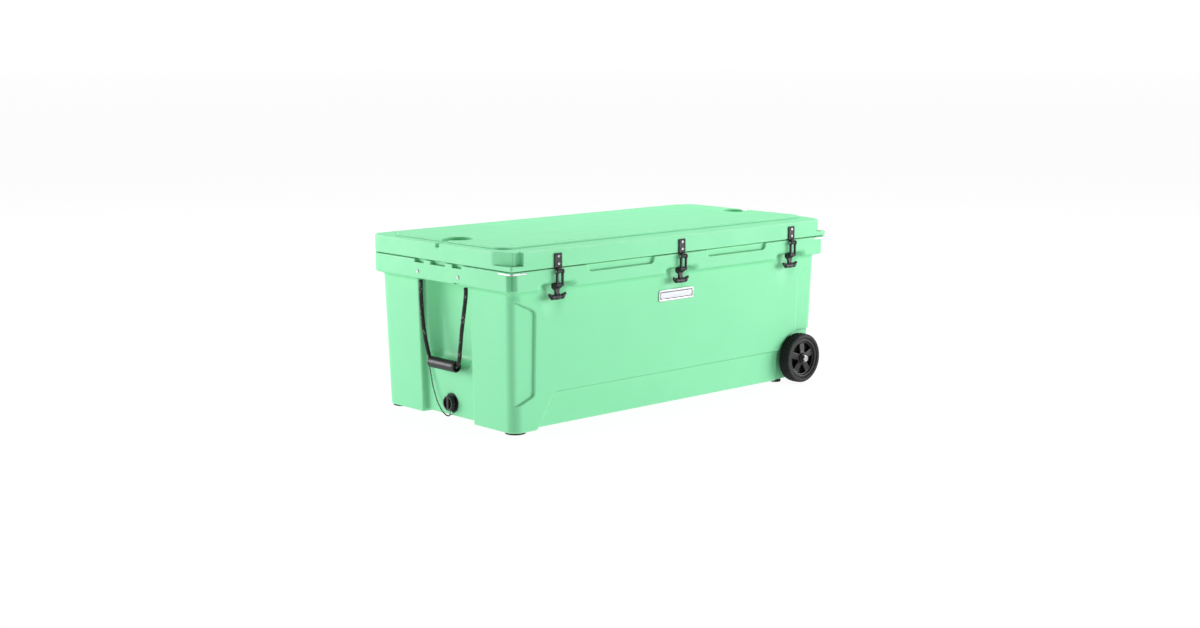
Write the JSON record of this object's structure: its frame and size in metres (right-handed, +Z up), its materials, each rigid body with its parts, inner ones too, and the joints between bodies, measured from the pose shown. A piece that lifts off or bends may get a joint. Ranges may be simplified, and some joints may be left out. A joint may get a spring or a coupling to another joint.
{
  "type": "wheeled cooler",
  "caption": "Long insulated chest cooler with a hinged lid, rubber T-latches, rope handles, a tethered drain plug and wheels at one end.",
  "frame": {"origin": "centre of the footprint, on the ground", "axes": "+X along the length towards the wheel end, -X towards the drain end, -Y towards the front with the latches, +Z up"},
  "size_m": [1.204, 0.632, 0.482],
  "materials": {
    "shell_mint": "rotomoulded polyethylene, fine satin grain",
    "liner_mint": "rotomoulded polyethylene, satin",
    "foam": "rigid polyurethane foam, open cut face",
    "plate_steel": "brushed stainless, satin",
    "nameplate": "satin plate with a thin dark border, blank",
    "pin_steel": "turned stainless rod",
    "axle_steel": "zinc-plated steel",
    "screw_steel": "stainless screw heads",
    "chain_steel": "nickel-plated bead chain",
    "plastic_black": "moulded, fine grain",
    "wheel_plastic": "moulded, satin",
    "grip_rubber": "moulded, smooth matte",
    "rubber_black": "moulded, matte",
    "latch_rubber": "moulded, satin",
    "rope": "braided nylon, black",
    "tyre": "moulded foam rubber, matte tread"
  },
  "bodies": {
    "root": {"tub_shell": "shell_mint", "tub_liner": "liner_mint", "tub_foam": "foam", "corner_plate_left": "plate_steel", "corner_plate_right": "plate_steel", "nameplate": "nameplate", "hinge_pin_left": "pin_steel", "hinge_pin_middle": "pin_steel", "hinge_pin_right": "pin_steel", "drain_bushing": "plastic_black", "drain_gasket": "rubber_black", "chain_anchor": "screw_steel", "drain_chain": "chain_steel", "rope_knots_left": "rope", "rope_knots_right": "rope", "handle_screws_left": "screw_steel", "handle_screws_right": "screw_steel", "rubber_feet": "rubber_black", "foot_screws": "screw_steel", "rear_feet": "rubber_black", "axle": "axle_steel", "axle_clamps": "axle_steel", "axle_clamp_screws": "screw_steel", "axle_spacers": "plastic_black", "axle_washers": "axle_steel", "axle_nuts": "axle_steel"},
    "lid": {"lid_shell": "shell_mint", "lid_liner": "liner_mint", "lid_foam": "foam", "lid_gasket": "rubber_black", "latch_bracket_left": "plastic_black", "latch_screws_left": "screw_steel", "latch_pin_left": "pin_steel", "latch_bracket_middle": "plastic_black", "latch_screws_middle": "screw_steel", "latch_pin_middle": "pin_steel", "latch_bracket_right": "plastic_black", "latch_screws_right": "screw_steel", "latch_pin_right": "pin_steel"},
    "latch_left": {"latch_strap_left": "latch_rubber"},
    "latch_middle": {"latch_strap_middle": "latch_rubber"},
    "latch_right": {"latch_strap_right": "latch_rubber"},
    "handle_left": {"handle_rope_left": "rope", "handle_grip_left": "grip_rubber"},
    "handle_right": {"handle_rope_right": "rope", "handle_grip_right": "grip_rubber"},
    "tether_ring": {"plug_tether_ring": "plastic_black"},
    "plug": {"drain_plug": "plastic_black", "plug_gasket": "rubber_black"},
    "wheel_front": {"tyre_front": "tyre", "wheel_rim_front": "wheel_plastic", "wheel_bushes_front": "plastic_black"},
    "wheel_back": {"tyre_back": "tyre", "wheel_rim_back": "wheel_plastic", "wheel_bushes_back": "plastic_black"}
  },
  "joints": [
    {"name": "lid_hinge", "type": "hinge", "parent": "root", "child": "lid", "pos_m": [0, 0.302, 0.426], "axis": [-1, 0, 0], "range_deg": [0, 105]},
    {"name": "latch_left_swing", "type": "hinge", "parent": "lid", "child": "latch_left", "pos_m": [-0.446, -0.308, 0.418], "axis": [-1, 0, 0], "range_deg": [0, 135]},
    {"name": "latch_middle_swing", "type": "hinge", "parent": "lid", "child": "latch_middle", "pos_m": [0, -0.308, 0.418], "axis": [-1, 0, 0], "range_deg": [0, 135]},
    {"name": "latch_right_swing", "type": "hinge", "parent": "lid", "child": "latch_right", "pos_m": [0.446, -0.308, 0.418], "axis": [-1, 0, 0], "range_deg": [0, 135]},
    {"name": "handle_left_swing", "type": "hinge", "parent": "root", "child": "handle_left", "pos_m": [-0.583, 0, 0.3665], "axis": [0, 1, 0], "range_deg": [0, 85]},
    {"name": "handle_right_swing", "type": "hinge", "parent": "root", "child": "handle_right", "pos_m": [0.583, 0, 0.3665], "axis": [0, -1, 0], "range_deg": [0, 85]},
    {"name": "plug_out", "type": "slide", "parent": "root", "child": "tether_ring", "axis": [-1, 0, 0], "range_m": [0, 0.012]},
    {"name": "plug_turn", "type": "hinge", "parent": "tether_ring", "child": "plug", "pos_m": [-0.56, 0, 0.045], "axis": [-1, 0, 0], "range_deg": [0, 1081]},
    {"name": "wheel_front_spin", "type": "hinge", "parent": "root", "child": "wheel_front", "pos_m": [0.505, -0.2895, 0.072], "axis": [0, 1, 0], "continuous": true},
    {"name": "wheel_back_spin", "type": "hinge", "parent": "root", "child": "wheel_back", "pos_m": [0.505, 0.2895, 0.072], "axis": [0, 1, 0], "continuous": true}
  ],
  "couplings": [
    {"joint": "plug_turn", "follows": "plug_out", "rad_per_m": 1570.8}
  ]
}
